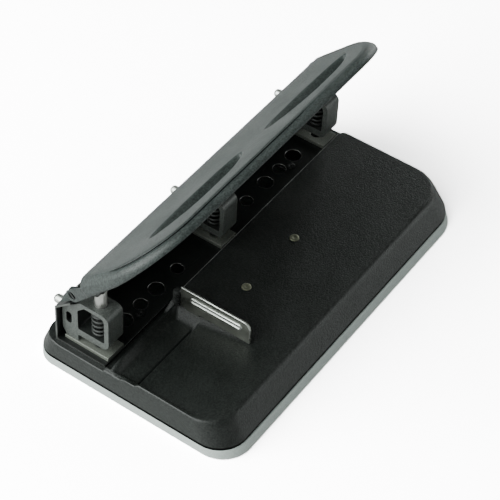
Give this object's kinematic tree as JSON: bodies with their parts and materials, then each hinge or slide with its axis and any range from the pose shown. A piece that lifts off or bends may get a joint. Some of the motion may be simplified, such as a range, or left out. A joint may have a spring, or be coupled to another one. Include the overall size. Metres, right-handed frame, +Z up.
{
  "type": "hole punch",
  "caption": "Desktop paper punch with a hinged lever, adjustable punch heads on a rail, sprung pins, a flat paper table with a sliding edge guide, and a chip tray.",
  "frame": {"origin": "centre of the base's footprint, on its flat underside", "axes": "+Z up out of the paper table; +X along the row of punch heads, away from the end with the edge guide's recess; -Y towards the side the paper comes in from"},
  "size_m": [0.2464, 0.1376, 0.1213],
  "materials": {
    "cover_black": "fine textured, semi-matt",
    "rail_black": "semi-matt",
    "lever_grey": "fine grained, satin",
    "cast_grey": "painted satin",
    "tray_grey": "smooth",
    "chrome": "polished",
    "steel": "ground",
    "spring_steel": "bright wire",
    "rivet_brass": "dull"
  },
  "bodies": {
    "base": {"base_cover": "cover_black", "chip_tray": "tray_grey", "table_rivet_1": "rivet_brass", "table_rivet_2": "rivet_brass", "rail": "rail_black", "rail_rivet_1": "steel", "rail_rivet_2": "steel", "hinge_bracket_near": "lever_grey", "hinge_bracket_far": "lever_grey"},
    "head_1": {"head_frame_1": "cast_grey", "die_plate_1": "cast_grey", "return_spring_1": "spring_steel", "lock_washer_1": "steel"},
    "head_2": {"head_frame_2": "cast_grey", "die_plate_2": "cast_grey", "return_spring_2": "spring_steel", "lock_washer_2": "steel"},
    "head_3": {"head_frame_3": "cast_grey", "die_plate_3": "cast_grey", "return_spring_3": "spring_steel", "lock_washer_3": "steel"},
    "pin_1": {"punch_pin_1": "steel", "pin_clip_1": "spring_steel"},
    "pin_2": {"punch_pin_2": "steel", "pin_clip_2": "spring_steel"},
    "pin_3": {"punch_pin_3": "steel", "pin_clip_3": "spring_steel"},
    "screw_1": {"lock_screw_1": "chrome"},
    "screw_2": {"lock_screw_2": "chrome"},
    "screw_3": {"lock_screw_3": "chrome"},
    "lever": {"handle": "lever_grey", "hinge_rod": "rail_black", "press_bar": "rail_black"},
    "guide": {"guide_plate": "chrome", "guide_sleeve": "chrome"}
  },
  "joints": [
    {"name": "lever_hinge", "type": "hinge", "parent": "base", "child": "lever", "pos_m": [0, 0.0419, 0.064], "axis": [1, 0, 0], "range_deg": [0, 45], "stiffness_Nm_per_rad": 0.6, "springref_deg": -34.38},
    {"name": "head_slide_1", "type": "slide", "parent": "base", "child": "head_1", "axis": [1, 0, 0], "range_m": [0, 0.073]},
    {"name": "head_slide_2", "type": "slide", "parent": "base", "child": "head_2", "axis": [1, 0, 0], "range_m": [-0.02, 0.02]},
    {"name": "head_slide_3", "type": "slide", "parent": "base", "child": "head_3", "axis": [1, 0, 0], "range_m": [-0.073, 0]},
    {"name": "pin_slide_1", "type": "slide", "parent": "head_1", "child": "pin_1", "axis": [0, 0, -1], "range_m": [0, 0.0097], "deforming": ["return_spring_1"]},
    {"name": "pin_slide_2", "type": "slide", "parent": "head_2", "child": "pin_2", "axis": [0, 0, -1], "range_m": [0, 0.0097], "deforming": ["return_spring_2"]},
    {"name": "pin_slide_3", "type": "slide", "parent": "head_3", "child": "pin_3", "axis": [0, 0, -1], "range_m": [0, 0.0097], "deforming": ["return_spring_3"]},
    {"name": "screw_turn_1", "type": "hinge", "parent": "head_1", "child": "screw_1", "pos_m": [-0.108, 0.058, 0.039], "axis": [0, 1, 0], "range_deg": [-180, 0]},
    {"name": "screw_turn_2", "type": "hinge", "parent": "head_2", "child": "screw_2", "pos_m": [0, 0.058, 0.039], "axis": [0, 1, 0], "range_deg": [-180, 0]},
    {"name": "screw_turn_3", "type": "hinge", "parent": "head_3", "child": "screw_3", "pos_m": [0.108, 0.058, 0.039], "axis": [0, 1, 0], "range_deg": [-180, 0]},
    {"name": "guide_slide", "type": "slide", "parent": "base", "child": "guide", "axis": [-1, 0, 0], "range_m": [0, 0.048]}
  ],
  "couplings": [
    {"joint": "pin_slide_1", "follows": "lever_hinge", "m_per_rad": 0.0122},
    {"joint": "pin_slide_2", "follows": "lever_hinge", "m_per_rad": 0.0122},
    {"joint": "pin_slide_3", "follows": "lever_hinge", "m_per_rad": 0.0122}
  ]
}
